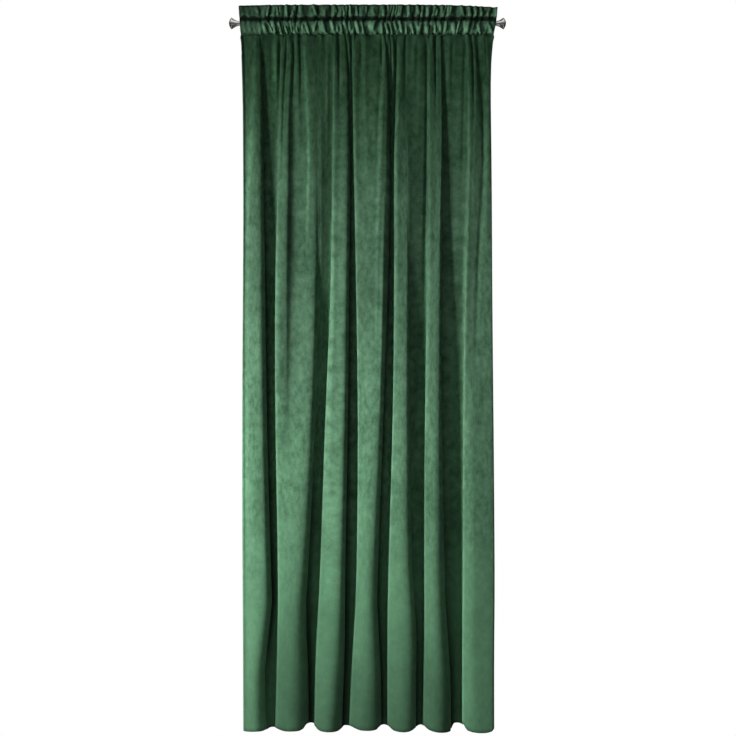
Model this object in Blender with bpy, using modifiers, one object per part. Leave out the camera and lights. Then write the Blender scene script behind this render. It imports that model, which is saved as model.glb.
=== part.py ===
"""Rod pocket velvet curtain gathered on its rod.

The origin is on the rod's axis, halfway along the rod. +X runs along the rod,
-Y faces the room and +Z is up. All sizes are in metres.
"""

import math

import bpy
import numpy as np

NAME = "rod_pocket_velvet_curtain"

# Cloth
CLOTH = 0.0020  # the velvet's thickness, with its pile
LAYER_GAP = 0.0008  # left between the two layers at a stitch line
RUFFLE_TOP = 0.0680
UPPER_SEAM = 0.0200
LOWER_SEAM = -0.0410
FLAP_END = -0.0480  # the turned-down layer ends just under the lower seam
HEADING_LEFT, HEADING_RIGHT = -0.4790, 0.4825  # the ruffle's two ends
LEFT_DROOP, RIGHT_DROOP = 0.0040, 0.0110  # how far the ruffle's corners sink
HEM_RISE = 0.0070  # the hem is this much higher at the back of a fold than at its front
COLUMNS_PER_GATHER = 4
WIDE_GATHER = 0.036  # a gather wider than this gets more columns
WIDE_GATHER_COLUMNS = 6

# Rod and finials
ROD_RADIUS = 0.0080
ROD_LENGTH = 0.9840
ROD_SIDES = 24
FINIAL_START = 0.4805  # from the middle of the rod to a finial's open end
SOCKET_RADIUS = 0.0083
SOCKET_DEPTH = 0.0118
FINIAL_SIDES = 24

# A finial's outline, from its open end: distance along the rod, radius
FINIAL_OUTLINE = (
    (0.0000, 0.0096),
    (0.0040, 0.0100),
    (0.0080, 0.0112),
    (0.0120, 0.0130),
    (0.0165, 0.0158),
    (0.0205, 0.0185),
    (0.0238, 0.0204),
    (0.0250, 0.0208),
    (0.0262, 0.0204),
    (0.0290, 0.0175),
    (0.0320, 0.0122),
    (0.0342, 0.0060),
    (0.0350, 0.0000),
)

# The levels at which the folds are placed, and how deep the folds are there
LEVELS = (
    # level, height, depth from front to back
    ("pocket", -0.041, 0.003),
    ("neck", -0.160, 0.024),
    ("chest", -0.430, 0.044),
    ("middle", -0.990, 0.058),
    ("waist", -1.480, 0.066),
    ("knee", -2.070, 0.072),
    ("hem", -2.630, 0.078),
)

# Across the curtain at each level: a fold's left edge, one row for each fold
FOLD_EDGES = (
    # pocket, neck, chest, middle, waist, knee, hem
    (-0.4710, -0.463, -0.459, -0.459, -0.463, -0.465, -0.463),
    (-0.3140, -0.322, -0.329, -0.346, -0.346, -0.339, -0.340),
    (-0.1250, -0.128, -0.132, -0.140, -0.162, -0.186, -0.199),
    (-0.0540, -0.054, -0.050, -0.039, -0.033, -0.046, -0.069),
    (0.1130, 0.111, 0.102, 0.100, 0.095, 0.074, 0.076),
    (0.2210, 0.221, 0.225, 0.225, 0.214, 0.210, 0.208),
    (0.3700, 0.370, 0.379, 0.359, 0.353, 0.350, 0.353),
)

# The crease at each fold's right side, in the same columns; the last one is
# the curtain's right-hand edge
FOLD_CREASES = (
    (-0.3920, -0.391, -0.385, -0.380, -0.370, -0.364, -0.380),
    (-0.1750, -0.175, -0.173, -0.188, -0.200, -0.228, -0.244),
    (-0.0730, -0.073, -0.075, -0.077, -0.077, -0.088, -0.097),
    (0.0730, 0.076, 0.078, 0.066, 0.047, 0.026, 0.036),
    (0.1470, 0.147, 0.160, 0.156, 0.149, 0.168, 0.166),
    (0.2770, 0.279, 0.281, 0.275, 0.277, 0.288, 0.305),
    (0.4690, 0.451, 0.457, 0.459, 0.463, 0.471, 0.471),
)

# One fold in plan: share of its cloth, stretch, place along that stretch and
# part of the depth, from the front at -0.5 to the back at +0.5
FOLD_PROFILE = (
    (0.00, "ridge", 0.00, -0.04),
    (0.09, "ridge", -0.03, -0.45),
    (0.21, "ridge", 0.22, -0.58),
    (0.34, "ridge", 0.52, -0.54),
    (0.47, "ridge", 0.86, -0.46),
    (0.58, "ridge", 1.03, -0.05),
    (0.69, "floor", 0.06, 0.46),
    (0.80, "floor", 0.50, 0.56),
    (0.91, "floor", 1.03, 0.46),
)
LAST_FOLD_POINTS = 6  # the right-hand fold ends in the curtain's side edge

# Gathers on the rod: first crest, last crest, how many crests, half depth
GATHER_GROUPS = (
    (-0.415, -0.381, 2, 0.0035),
    (-0.340, -0.240, 4, 0.0050),
    (-0.184, -0.050, 5, 0.0050),
    (-0.008, 0.039, 2, 0.0035),
    (0.069, 0.110, 2, 0.0055),
    (0.158, 0.206, 2, 0.0045),
    (0.232, 0.292, 3, 0.0050),
    (0.348, 0.445, 4, 0.0055),
)
END_GATHER = 0.0010  # half depth at the heading's two flat ends
GATHER_FADE = 0.14  # the gathers die away down the cloth over about this length

# Creases inside the folds that start under the pocket, soon reach their depth
# and fade out: place at the pocket, place and height at the end, depth, half width
SMALL_CREASES = (
    (-0.275, -0.296, -1.290, 0.014, 0.012),
    (0.045, 0.022, -0.950, 0.007, 0.014),
    (0.214, 0.211, -1.200, 0.008, 0.010),
    (0.250, 0.262, -0.400, 0.006, 0.009),
    (0.409, 0.432, -0.450, 0.009, 0.010),
)

# Rows of the hanging part from the hem up, counted in levels from the pocket
BODY_ROWS = (6.0, 5.1, 4.2, 3.3, 2.4, 1.5, 0.7)

# Rows of one layer of the heading from the lower seam up: height, how far the
# layer leaves the stitched line to pass the rod, the same for the soft fold at
# the ruffle's top, share of the gathers' depth, the row's two ends
HEADING_ROWS = (
    (LOWER_SEAM, 0.0000, 0.0000, 1.0, -0.4710, 0.4690),
    (-0.0230, 0.0070, 0.0000, 0.7, -0.4725, 0.4720),
    (-0.0020, 0.0090, 0.0000, 0.6, -0.4735, 0.4760),
    (0.0085, 0.0072, 0.0000, 0.7, -0.4745, 0.4770),
    (UPPER_SEAM, 0.0000, 0.0000, 0.8, -0.4760, 0.4800),
    (RUFFLE_TOP, 0.0000, 0.0018, 1.3, HEADING_LEFT, HEADING_RIGHT),
)


def spline_weights(places, count):
    """Weights of a uniform cubic B-spline, one row for each place counted in control points.

    A ghost point beyond each end mirrors its neighbour, so the curve starts and
    ends on the first and last control points.
    """
    distance = np.abs(np.asarray(places)[:, None] - np.arange(-1, count + 1)[None, :])
    near = 2 / 3 - distance**2 + distance**3 / 2
    far = np.clip(2 - distance, 0, None) ** 3 / 6
    weights = np.where(distance < 1, near, far)
    inner = weights[:, 1:-1].copy()
    for ghost, end, next_in in ((0, 0, 1), (-1, -1, -2)):
        inner[:, end] += 2 * weights[:, ghost]
        inner[:, next_in] -= weights[:, ghost]
    return inner


def gather_columns():
    """Places of the columns across the heading, and the gathers' plan line through them."""
    crests, depths = [HEADING_LEFT], [END_GATHER]
    for first, last, count, depth in GATHER_GROUPS:
        crests.extend(np.linspace(first, last, count))
        depths.extend([depth] * count)
    crests, depths = np.array(crests + [HEADING_RIGHT]), np.array(depths + [END_GATHER])
    wide = np.diff(crests) > WIDE_GATHER
    shares = [
        np.arange(WIDE_GATHER_COLUMNS if is_wide else COLUMNS_PER_GATHER) for is_wide in wide
    ]
    steps = np.concatenate([i + share / len(share) for i, share in enumerate(shares)] + [[len(wide)]])
    numbers = np.arange(len(crests))
    wave = -np.interp(steps, numbers, depths) * np.cos(2 * math.pi * steps)
    return np.interp(steps, numbers, crests), wave


def fold_net():
    """Control points of the folds: one row for each level, one column for each point across."""
    edges, creases = np.array(FOLD_EDGES).T, np.array(FOLD_CREASES).T
    depths = np.array([depth for _, _, depth in LEVELS])
    across, along, cloth_place = [], [], []
    for fold in range(len(FOLD_EDGES)):
        last = fold == len(FOLD_EDGES) - 1
        edge, crease = edges[:, fold], creases[:, fold]
        following = crease if last else edges[:, fold + 1]
        share_scale = FOLD_PROFILE[LAST_FOLD_POINTS - 1][0] if last else 1.0
        for share, stretch, place, part in FOLD_PROFILE[: LAST_FOLD_POINTS if last else None]:
            start, end = (edge, crease) if stretch == "ridge" else (crease, following)
            x = start + place * (end - start)
            x[0] = edge[0] + share / share_scale * (following[0] - edge[0])
            across.append(x)
            along.append(part * depths)
            cloth_place.append(x[0])
    return np.array(across).T, np.array(along).T, np.array(cloth_place)


def plan_offsets(x, y):
    """Steps towards the wall, in plan, that shift every stretch of each row by one unit.

    A step lies along the bend's middle line and is longer where the bend is
    sharper, as in a mitre.
    """
    dx, dy = np.diff(x, axis=1), np.diff(y, axis=1)
    length = np.hypot(dx, dy)
    normals = np.stack([-dy / length, dx / length])
    before = np.concatenate([normals[:, :, :1], normals], axis=2)
    after = np.concatenate([normals, normals[:, :, -1:]], axis=2)
    return (before + after) / (1 + (before * after).sum(axis=0))


def stretched(columns, left, right):
    """The columns' places in a row that runs from left to right."""
    return left + (columns - HEADING_LEFT) / (HEADING_RIGHT - HEADING_LEFT) * (right - left)


def body_sheet(columns, gather_wave):
    """The hanging part as rows from the hem up, each row a plan curve with its folds."""
    net_x, net_y, cloth_place = fold_net()
    down = spline_weights(BODY_ROWS, len(LEVELS))
    places = stretched(columns, cloth_place[0], cloth_place[-1])
    across = spline_weights(
        np.interp(places, cloth_place, np.arange(len(cloth_place))), len(cloth_place)
    )
    x, y = down @ net_x @ across.T, down @ net_y @ across.T
    heights = down @ np.array([height for _, height, _ in LEVELS])
    z = np.repeat(heights[:, None], len(columns), axis=1)
    for top_place, end_place, end_height, depth, half_width in SMALL_CREASES:
        run = np.clip((z - LOWER_SEAM) / (end_height - LOWER_SEAM), 0, 1)
        place = top_place + (end_place - top_place) * run
        fade = np.sin(np.sqrt(run) * math.pi)
        y += depth * fade * np.exp(-(((x - place) / half_width) ** 2))
    y += gather_wave * np.exp((z - LOWER_SEAM) / GATHER_FADE)
    z[0] += HEM_RISE * (y[0] - y[0].min()) / np.ptp(y[0])
    return x, y, z


def heading_layer(columns, gather_wave, side):
    """One layer of the pocket and the ruffle from the lower seam up; side is -1 in front, 1 behind."""
    heights, stand_off, spread, share, left, right = np.array(HEADING_ROWS).T[:, :, None]
    x = stretched(columns, left, right)
    y = share * gather_wave
    shift_x, shift_y = plan_offsets(x, y) * side * (CLOTH + LAYER_GAP) / 2
    bulge = np.where(stand_off > 0, stand_off + share * np.abs(gather_wave).max(), spread)
    z = np.repeat(heights, len(columns), axis=1)
    z[-1] -= np.where(columns < 0, LEFT_DROOP, RIGHT_DROOP) * (columns / HEADING_RIGHT) ** 4
    return x + shift_x, y + shift_y + side * bulge, z


def make_curtain(material):
    """One length of velvet, from its hem up the front, over the ruffle and down to the flap's end."""
    columns, gather_wave = gather_columns()
    body = np.stack(body_sheet(columns, gather_wave), axis=-1)
    front = np.stack(heading_layer(columns, gather_wave, -1), axis=-1)
    back = np.stack(heading_layer(columns, gather_wave, 1), axis=-1)
    below_seam = (LOWER_SEAM - FLAP_END) / (LOWER_SEAM - body[-1:, :, 2:])
    flap_end = back[:1] + below_seam * (body[-1:] - front[:1])
    points = np.concatenate([body, front, back[::-1], flap_end])
    rows, count = points.shape[:2]
    corner = np.arange(rows * count).reshape(rows, count)
    faces = np.stack(
        [corner[:-1, :-1], corner[:-1, 1:], corner[1:, 1:], corner[1:, :-1]], axis=-1
    ).reshape(-1, 4)
    mesh = bpy.data.meshes.new("curtain_panel")
    mesh.from_pydata(points.reshape(-1, 3).tolist(), [], faces.tolist())
    mesh.shade_smooth()
    curtain = bpy.data.objects.new("curtain_panel", mesh)
    thickness = curtain.modifiers.new("Cloth", "SOLIDIFY")
    thickness.thickness = CLOTH
    thickness.offset = 0.0
    thickness.use_even_offset = True
    mesh.materials.append(material)
    return curtain


def make_rod(material):
    """A plain round rod along X."""
    line = bpy.data.curves.new("curtain_rod", "CURVE")
    line.dimensions = "3D"
    line.bevel_depth = ROD_RADIUS
    line.bevel_resolution = (ROD_SIDES - 4) // 2
    line.use_fill_caps = True
    spline = line.splines.new("POLY")
    spline.points.add(1)
    for point, side in zip(spline.points, (-1, 1)):
        point.co = (side * ROD_LENGTH / 2, 0.0, 0.0, 1.0)
    line.materials.append(material)
    return bpy.data.objects.new("curtain_rod", line)


def make_finial(name, side, material):
    """A turned trumpet with a blind socket for the rod; side is -1 for the left and 1 for the right."""
    outline = [(0.0, SOCKET_DEPTH), (SOCKET_RADIUS, SOCKET_DEPTH), (SOCKET_RADIUS, 0.0)]
    outline += [(radius, along) for along, radius in FINIAL_OUTLINE]
    mesh = bpy.data.meshes.new(name)
    mesh.from_pydata(
        [(radius, 0.0, along) for radius, along in outline],
        [(i, i + 1) for i in range(len(outline) - 1)],
        [],
    )
    mesh.materials.append(material)
    finial = bpy.data.objects.new(name, mesh)
    turning = finial.modifiers.new("Turning", "SCREW")
    turning.steps = turning.render_steps = FINIAL_SIDES
    turning.use_merge_vertices = True
    turning.merge_threshold = 0.0001
    turning.use_smooth_shade = True
    turning.use_normal_flip = True
    finial.rotation_euler = (0.0, side * math.pi / 2, 0.0)
    finial.location = (side * FINIAL_START, 0.0, 0.0)
    return finial


def make_material(name, colour, roughness, metallic):
    material = bpy.data.materials.new(name)
    material.use_nodes = True
    surface = material.node_tree.nodes["Principled BSDF"]
    surface.inputs["Base Color"].default_value = (*colour, 1.0)
    surface.inputs["Roughness"].default_value = roughness
    surface.inputs["Metallic"].default_value = metallic
    return material


def main():
    for old in list(bpy.data.objects):
        bpy.data.objects.remove(old)
    collection = bpy.data.collections.new(NAME)
    bpy.context.scene.collection.children.link(collection)
    velvet = make_material("green_velvet", (0.035, 0.125, 0.055), 0.85, 0.0)
    rod_metal = make_material("rod_metal", (0.55, 0.54, 0.52), 0.35, 1.0)
    finial_metal = make_material("finial_metal", (0.62, 0.60, 0.57), 0.30, 1.0)
    for piece in (
        make_curtain(velvet),
        make_rod(rod_metal),
        make_finial("finial_left", -1, finial_metal),
        make_finial("finial_right", 1, finial_metal),
    ):
        collection.objects.link(piece)


main()
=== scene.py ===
# A velvet curtain with a ruffle heading, gathered on its rod, in a pale studio.
# +X runs along the rod, -Y faces the room and +Z is up; sizes are in metres.

import math

import bpy
import numpy as np
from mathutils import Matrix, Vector


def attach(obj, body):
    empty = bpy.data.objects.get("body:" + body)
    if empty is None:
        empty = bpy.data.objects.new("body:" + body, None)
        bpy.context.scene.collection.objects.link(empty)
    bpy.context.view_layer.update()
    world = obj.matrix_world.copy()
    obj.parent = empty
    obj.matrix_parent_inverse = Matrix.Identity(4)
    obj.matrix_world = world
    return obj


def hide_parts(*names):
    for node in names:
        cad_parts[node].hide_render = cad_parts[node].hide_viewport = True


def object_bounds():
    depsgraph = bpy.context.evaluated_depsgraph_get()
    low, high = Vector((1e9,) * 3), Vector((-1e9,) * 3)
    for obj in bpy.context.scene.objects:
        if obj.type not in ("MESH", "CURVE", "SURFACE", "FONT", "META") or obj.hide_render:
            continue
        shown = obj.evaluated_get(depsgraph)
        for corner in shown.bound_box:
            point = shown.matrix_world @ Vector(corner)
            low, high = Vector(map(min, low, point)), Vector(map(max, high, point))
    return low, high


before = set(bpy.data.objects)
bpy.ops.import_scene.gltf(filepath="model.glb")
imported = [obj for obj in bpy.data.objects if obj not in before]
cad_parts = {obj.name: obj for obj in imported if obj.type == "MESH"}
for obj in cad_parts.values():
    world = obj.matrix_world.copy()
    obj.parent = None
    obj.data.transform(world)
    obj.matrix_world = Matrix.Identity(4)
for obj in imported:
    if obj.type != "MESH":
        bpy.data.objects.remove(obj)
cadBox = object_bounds()
print("frame loaded:", ", ".join(sorted(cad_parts)))


# the curtain's cut and heading
curtain = {
    "width": 1.40,  # flat, before gathering
    "length": 2.86,  # flat, with the part turned over at the top
    "thickness": 0.0017,
    "hemThickness": 0.0042,
    "hemHeight": 0.060,
    "sideHemWidth": 0.020,
    "layerGap": 0.0010,  # between the two layers of the heading at a stitch line
    "columns": 552,  # points across the cloth
    "left": -0.4790,  # the ruffle's two ends
    "right": 0.4825,
    "leftDroop": 0.0040,  # how far the ruffle's top sinks at its ends
    "rightDroop": 0.0110,
    "droopPower": 4,
    "backTurn": 0.026,  # further back than this the folds flatten
    "backmost": 0.048,
    "hemRows": 6,  # rows of the bottom hem's cloth
    "sideHemStart": 0.010,  # how far below the lower stitch line the side hems start
    "gathered": 0.8,  # how wide a side hem hangs, as a share of its flat width
    "flapDrops": (0.0025, 0.0070),  # how far the flap's rows are below the lower stitch line
    "flapBehind": 4,  # rows of the hanging part that the flap stays behind
    "seed": 5,
}

# heights of the two stitch lines and of the ruffle's top
heading = {"seam": -0.041, "stitches": 0.020, "top": 0.068}

# The heading from the lower seam up its front and down its back, as control points of its
# section: height, distance in front of the stitch lines, share of the gathers' depth,
# pattern of the gathers (0 lower seam, 1 over the rod, 2 ruffle's top), left end, right end
pocketSection = [
    (-0.0410, 0.0000, 1.00, 0.0, -0.4710, 0.4690),
    (-0.0435, 0.0040, 1.00, 0.0, -0.4712, 0.4692),
    (-0.0385, 0.0110, 0.80, 0.2, -0.4716, 0.4700),
    (-0.0260, 0.0162, 0.45, 0.5, -0.4725, 0.4720),
    (-0.0110, 0.0180, 0.35, 0.8, -0.4735, 0.4750),
    (0.0010, 0.0165, 0.35, 1.0, -0.4742, 0.4770),
    (0.0090, 0.0115, 0.45, 1.1, -0.4750, 0.4785),
    (0.0155, 0.0050, 0.60, 1.2, -0.4755, 0.4795),
    (0.0200, 0.0000, 0.70, 1.3, -0.4760, 0.4800),
]
ruffleSection = [
    pocketSection[-1],
    (0.0225, 0.0035, 0.75, 1.4, -0.4764, 0.4803),
    (0.0275, 0.0080, 0.70, 1.5, -0.4768, 0.4806),
    (0.0350, 0.0070, 0.60, 1.6, -0.4772, 0.4810),
    (0.0500, 0.0045, 0.60, 1.8, -0.4780, 0.4815),
    (0.0672, 0.0030, 0.60, 2.0, -0.4790, 0.4825),
]
turnSection = [
    ruffleSection[-1],
    (0.0698, 0.0012, 0.60, 2.0, -0.4790, 0.4825),
    (0.0698, -0.0012, 0.60, 2.0, -0.4790, 0.4825),
    (0.0672, -0.0030, 0.60, 2.0, -0.4790, 0.4825),
]
backSection = [
    turnSection[-1],
    (0.0480, -0.0040, 0.60, 1.8, -0.4780, 0.4815),
    (0.0290, -0.0035, 0.60, 1.6, -0.4770, 0.4808),
    (0.0200, 0.0000, 0.70, 1.3, -0.4760, 0.4800),
]
backPocketSection = [
    backSection[-1],
    (0.0150, -0.0105, 0.50, 1.1, -0.4750, 0.4780),
    (0.0000, -0.0132, 0.40, 1.0, -0.4737, 0.4762),
    (-0.0190, -0.0125, 0.50, 0.8, -0.4727, 0.4730),
    (-0.0330, -0.0060, 0.80, 0.3, -0.4718, 0.4705),
    (-0.0410, 0.0000, 1.00, 0.0, -0.4710, 0.4690),
]

# Fine folds of the ruffle and of the pocket, in mm: how far one comes forward, the middle
# and the width of its left side beside the stitches below it, and the same above
ruffleFolds = [
    (3, -402, 8, -418, 12), (6, -374, 6, -366, 7), (5, -333, 9, -340, 7), (5, -299, 6, -303, 7),
    (6, -276, 7, -281, 5), (6, -189, 9, -203, 7), (3, -160, 8, -160, 8), (6, -116, 8, -119, 6),
    (5, -86, 8, -93, 7), (6, -64, 6, -66, 7), (5, -39, 8, -43, 6), (4, -6, 8, -6, 7),
    (3, 22, 14, 15, 8), (6, 60, 8, 60, 6), (6, 80, 7, 89, 6), (6, 100, 7, 109, 6),
    (5, 120, 8, 126, 6), (5, 152, 9, 152, 7), (5, 193, 8, 183, 8), (4, 223, 9, 223, 8),
    (6, 253, 7, 263, 6), (6, 278, 7, 292, 6), (6, 303, 7, 312, 6), (3, 355, 12, 348, 8),
    (4, 381, 10, 378, 9), (6, 399, 6, 407, 6), (6, 422, 6, 430, 6), (5, 444, 6, 452, 6),
    (7, 468, 24, 478, 8),
]
pocketFolds = [
    (6, -375, 8, -392, 8), (5, -349, 5, -375, 6), (7, -344, 7, -357, 18), (5, -320, 5, -333, 8),
    (6, -298, 5, -314, 6), (4, -281, 5, -288, 7), (4, -259, 5, -270, 8), (4, -240, 5, -244, 5),
    (6, -218, 6, -234, 12), (5, -203, 5, -188, 7), (8, -160, 12, -180, 26), (7, -123, 7, -137, 11),
    (4, -110, 5, -117, 6), (5, -95, 5, -102, 6), (5, -77, 5, -89, 9), (6, -63, 5, -70, 7),
    (7, -32, 6, -48, 14), (5, -14, 5, -26, 8), (9, 12, 6, 13, 34), (4, 54, 5, 50, 5),
    (6, 77, 5, 60, 7), (5, 91, 5, 77, 6), (6, 109, 5, 95, 9), (7, 128, 5, 115, 12),
    (4, 143, 6, 138, 9), (5, 172, 5, 154, 8), (8, 189, 8, 186, 24), (7, 221, 6, 214, 26),
    (3, 250, 8, 246, 8), (3, 272, 8, 266, 8), (5, 285, 5, 292, 6), (6, 321, 8, 312, 20),
    (6, 328, 5, 342, 7), (9, 366, 8, 364, 28), (4, 384, 5, 392, 7), (7, 418, 6, 404, 8),
    (5, 463, 6, 441, 8),
]

# Gathers along the stitches, in mm: crest at the ruffle's top, over the rod,
# at the lower seam, and half depth
gathers = [
    (-418, -415, -415, 1.2), (-380, -386, -378, 3.2), (-345, -352, -340, 3.4),
    (-322, -328, -316, 3.6), (-296, -304, -288, 4.0), (-270, -279, -266, 4.2),
    (-247, -255, -240, 4.0), (-196, -203, -188, 3.2), (-155, -160, -147, 3.6),
    (-122, -129, -117, 4.0), (-95, -102, -91, 3.6), (-76, -82, -73, 4.0),
    (-53, -60, -50, 3.8), (-15, -26, -13, 3.4), (28, 24, 35, 3.2),
    (62, 56, 65, 3.8), (80, 74, 80, 4.0), (100, 88, 95, 4.2),
    (120, 106, 115, 4.2), (165, 158, 169, 3.6), (190, 187, 195, 3.8),
    (206, 200, 206, 3.8), (232, 222, 229, 4.0), (252, 243, 244, 4.0),
    (280, 271, 270, 4.0), (303, 302, 299, 3.6), (350, 350, 348, 3.8),
    (380, 381, 378, 4.0), (402, 401, 400, 4.0), (424, 421, 418, 3.8), (455, 450, 445, 3.6),
]


def splineWeights(places, count):
    # uniform cubic B-spline: two thirds less the distance squared plus half its cube within
    # one step of a point, a sixth of the cube of two less the distance further out; a ghost
    # point beyond each end mirrors its neighbour, so the ends are met
    distance = np.abs(np.asarray(places, float)[:, None] - np.arange(-1, count + 1)[None, :])
    near = 2 / 3 - distance**2 + distance**3 / 2
    far = np.clip(2 - distance, 0, None) ** 3 / 6
    weights = np.where(distance < 1, near, far)
    inner = weights[:, 1:-1].copy()
    for ghost, end, nextIn in ((0, 0, 1), (-1, -1, -2)):
        inner[:, end] += 2 * weights[:, ghost]
        inner[:, nextIn] -= weights[:, ghost]
    return inner


def sectionRows(section, count):
    # a section or an outline as rows, read from the spline of its table
    points = np.array(section, float)
    return splineWeights(np.linspace(0, len(points) - 1, count), len(points)) @ points


# Heights of the levels at which the folds are placed, and the folds' depth there
levels = [
    (-0.041, 0.004), (-0.160, 0.018), (-0.430, 0.036), (-0.700, 0.048), (-0.990, 0.058),
    (-1.480, 0.066), (-2.070, 0.072), (-2.220, 0.073), (-2.350, 0.075), (-2.630, 0.078),
]

# A fold's left edge at each level in mm, one row for each fold
foldEdges = [
    (-471, -463, -460, -458, -459, -463, -461, -459, -458, -457),
    (-318, -324, -326, -334, -341, -341, -328, -331, -334, -340),
    (-125, -126, -128, -130, -134, -157, -174, -185, -192, -196),
    (-54, -55, -52, -46, -41, -32, -39, -46, -57, -67),
    (110, 110, 99, 99, 100, 96, 76, 75, 74, 74),
    (221, 223, 223, 224, 222, 212, 210, 212, 210, 206),
    (370, 370, 377, 373, 360, 355, 353, 352, 351, 351),
]

# The crease at each fold's right side; the last is the curtain's right-hand edge
foldCreases = [
    (-392, -392, -389, -387, -383, -378, -361, -353, -390, -377),
    (-175, -172, -172, -172, -172, -193, -223, -238, -222, -223),
    (-80, -71, -66, -67, -70, -74, -86, -86, -86, -98),
    (72, 79, 79, 78, 72, 57, 35, 34, 48, 49),
    (143, 143, 150, 153, 157, 158, 164, 184, 180, 179),
    (277, 279, 281, 279, 275, 274, 288, 289, 308, 309),
    (469, 453, 457, 459, 459, 464, 469, 467, 465, 465),
]

# How far back the floor between a fold and the next lies (1 is the folds' whole depth),
# how much further back it is at its right, and how much at its left, where the cloth is
# pinched right beside the fold
floorDepths = [
    (0.20, 0.20, 0.36, 0.66, 0.80, 0.80, 0.80, 0.80, 0.85, 0.90),
    (0.10, 0.04, 0.06, 0.15, 0.36, 0.80, 0.85, 0.85, 0.85, 0.85),
    (0.20, 0.38, 0.60, 0.60, 0.65, 0.70, 0.75, 0.80, 0.80, 0.80),
    (0.20, 0.40, 0.75, 0.75, 0.75, 0.75, 0.75, 0.80, 0.80, 0.80),
    (0.05, 0.00, 0.00, 0.00, 0.14, 0.75, 0.85, 0.85, 0.85, 0.85),
    (0.12, 0.15, 0.22, 0.32, 0.48, 0.74, 0.85, 0.85, 0.85, 0.85),
]
floorLeans = [
    (0.0, 0.42, 0.5, 0.25, 0.0, 0.0, 0.0, 0.0, 0.0, 0.0),
    (0.0, 0.25, 0.38, 0.45, 0.38, 0.0, 0.0, 0.0, 0.0, 0.0),
    (0.0, 0.0, 0.0, 0.0, 0.0, 0.0, 0.0, 0.0, 0.0, 0.0),
    (0.0, 0.0, 0.0, 0.0, 0.0, 0.0, 0.0, 0.0, 0.0, 0.0),
    (0.0, 0.28, 0.40, 0.50, 0.55, 0.1, 0.0, 0.0, 0.0, 0.0),
    (0.0, 0.0, 0.1, 0.15, 0.2, 0.1, 0.0, 0.0, 0.0, 0.0),
]
floorPinches = [
    (0.2, 0.6, 0.6, 0.6, 0.6, 0.6, 0.6, 0.6, 0.1, 0.1),
    (0.0, 0.0, 0.0, 0.0, 0.0, 0.1, 0.4, 0.5, 0.6, 0.6),
    (0.1, 0.5, 0.8, 0.7, 0.7, 0.6, 0.6, 0.6, 0.6, 0.6),
    (0.1, 0.4, 0.9, 0.8, 0.7, 0.5, 0.3, 0.3, 0.3, 0.3),
    (0.0, 0.0, 0.0, 0.0, 0.0, 0.0, 0.0, 0.1, 0.2, 0.2),
    (0.3, 0.4, 0.35, 0.3, 0.25, 0.2, 0.2, 0.2, 0.4, 0.4),
]

# How much further back a fold's right side is than its left, as a share of the depth,
# and how far it is from the chest's flat fold to the hem's round one
foldTilts = [
    (0.0, 0.0, 0.1, 0.15, 0.1, 0.0, -0.1, 0.0, 0.1, 0.1),
    (0.0, 0.0, 0.05, 0.18, 0.25, 0.10, 0.10, 0.13, 0.12, 0.06),
    (0.0, 0.0, 0.0, 0.0, 0.0, -0.03, 0.0, 0.03, 0.05, 0.0),
    (0.0, 0.0, -0.05, -0.03, 0.10, 0.0, 0.0, 0.03, 0.0, 0.0),
    (0.0, 0.0, 0.0, 0.0, 0.0, 0.0, 0.0, 0.0, 0.0, 0.0),
    (0.0, 0.0, 0.0, 0.0, 0.0, 0.0, 0.1, 0.1, 0.0, 0.0),
    (0.0, 0.0, 0.0, 0.0, 0.0, 0.06, 0.08, 0.08, 0.08, 0.08),
]
foldRounding = [
    (0.0, 0.0, 0.0, 0.0, 0.1, 0.2, 0.2, 0.6, 1.0, 1.2),
    (0.0, 0.0, 0.0, 0.0, 0.1, 0.2, 0.7, 1.0, 1.0, 1.2),
    (0.0, 0.0, 0.0, 0.0, 0.0, 0.0, 0.2, 0.4, 0.8, 1.4),
    (0.0, -0.6, -0.8, -0.8, -0.5, 0.2, 1.0, 1.0, 1.0, 1.2),
    (0.0, 0.0, 0.0, 0.0, 0.1, 0.5, 1.0, 0.5, 0.8, 1.1),
    (0.0, 0.0, 0.0, 0.0, 0.1, 0.5, 1.1, 1.1, 1.0, 1.4),
    (0.0, 0.0, 0.0, 0.0, 0.0, 0.2, 0.6, 0.8, 1.0, 1.4),
]

# One fold in plan: share of its cloth, place along the ridge and how far back, first on
# the chest and then at the hem, where it is rounder, and how much sooner a soft fold falls
# away; 0 is the front, and 1 as far back as the cloth goes on that side of the ridge
ridgeProfile = [
    (0.00, 0.05, 0.60, 0.05, 0.60, 0.00),
    (0.06, -0.01, 0.22, -0.01, 0.24, 0.00),
    (0.10, 0.00, 0.05, 0.00, 0.10, 0.00),
    (0.13, 0.06, 0.01, 0.06, 0.065, 0.00),
    (0.19, 0.19, -0.02, 0.19, 0.02, 0.00),
    (0.28, 0.40, -0.05, 0.40, -0.04, -0.03),
    (0.36, 0.62, -0.08, 0.62, -0.05, -0.07),
    (0.45, 0.87, -0.09, 0.83, 0.02, -0.13),
    (0.52, 1.04, 0.06, 1.00, 0.18, -0.17),
    (0.58, 1.00, 0.60, 1.02, 0.62, -0.09),
]
# The floor after it: share of the cloth, place, and its share of the pinch and of the lean
floorProfile = [
    (0.66, -0.12, 1.0, 0.0), (0.73, 0.16, 0.4, 0.2), (0.82, 0.58, 0.0, 0.6), (0.92, 1.05, 0.0, 1.0)
]
foldShape = {
    "ridgeLeft": 5,  # how many points of a fold lie on its left side
    "firstBack": 0.30,  # how far back the cloth goes left of the first fold
    "lastBack": 0.15,  # and right of the last one
    "softUpTo": 1.1,  # a fold is softer the less far back the cloth beside it lies
}

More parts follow.
